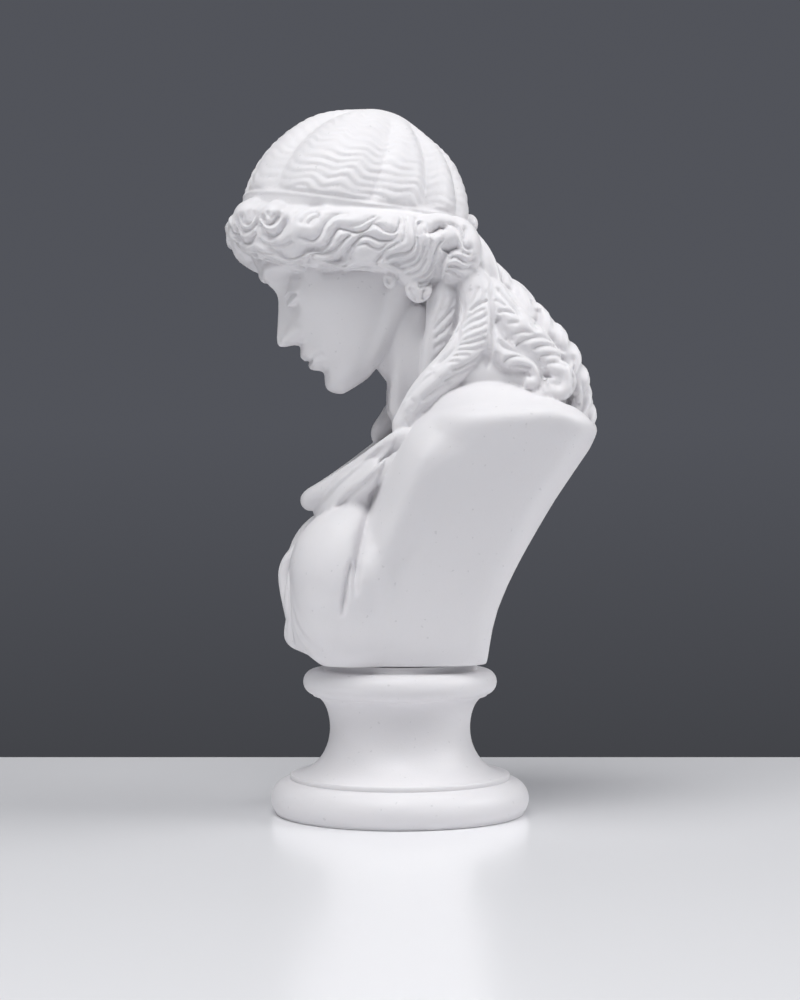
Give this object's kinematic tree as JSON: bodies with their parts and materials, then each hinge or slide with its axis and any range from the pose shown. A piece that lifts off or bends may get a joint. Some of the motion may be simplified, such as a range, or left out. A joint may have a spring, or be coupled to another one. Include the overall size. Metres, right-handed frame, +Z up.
{
  "type": "classical portrait bust",
  "caption": "Marble bust of a draped woman with bowed head, filleted hair and long ringlets, standing on a turned round socle.",
  "frame": {"origin": "centre of the socle's flat underside, on the surface that the statue stands on", "axes": "+Z up along the turning axis of the socle; the figure faces -Y, and its own left is +X"},
  "size_m": [0.1596, 0.169, 0.32],
  "materials": {
    "bust_marble": "satin white marble",
    "socle_marble": "satin white marble"
  },
  "bodies": {
    "root": {"bust": "bust_marble", "socle": "socle_marble"}
  },
  "joints": []
}
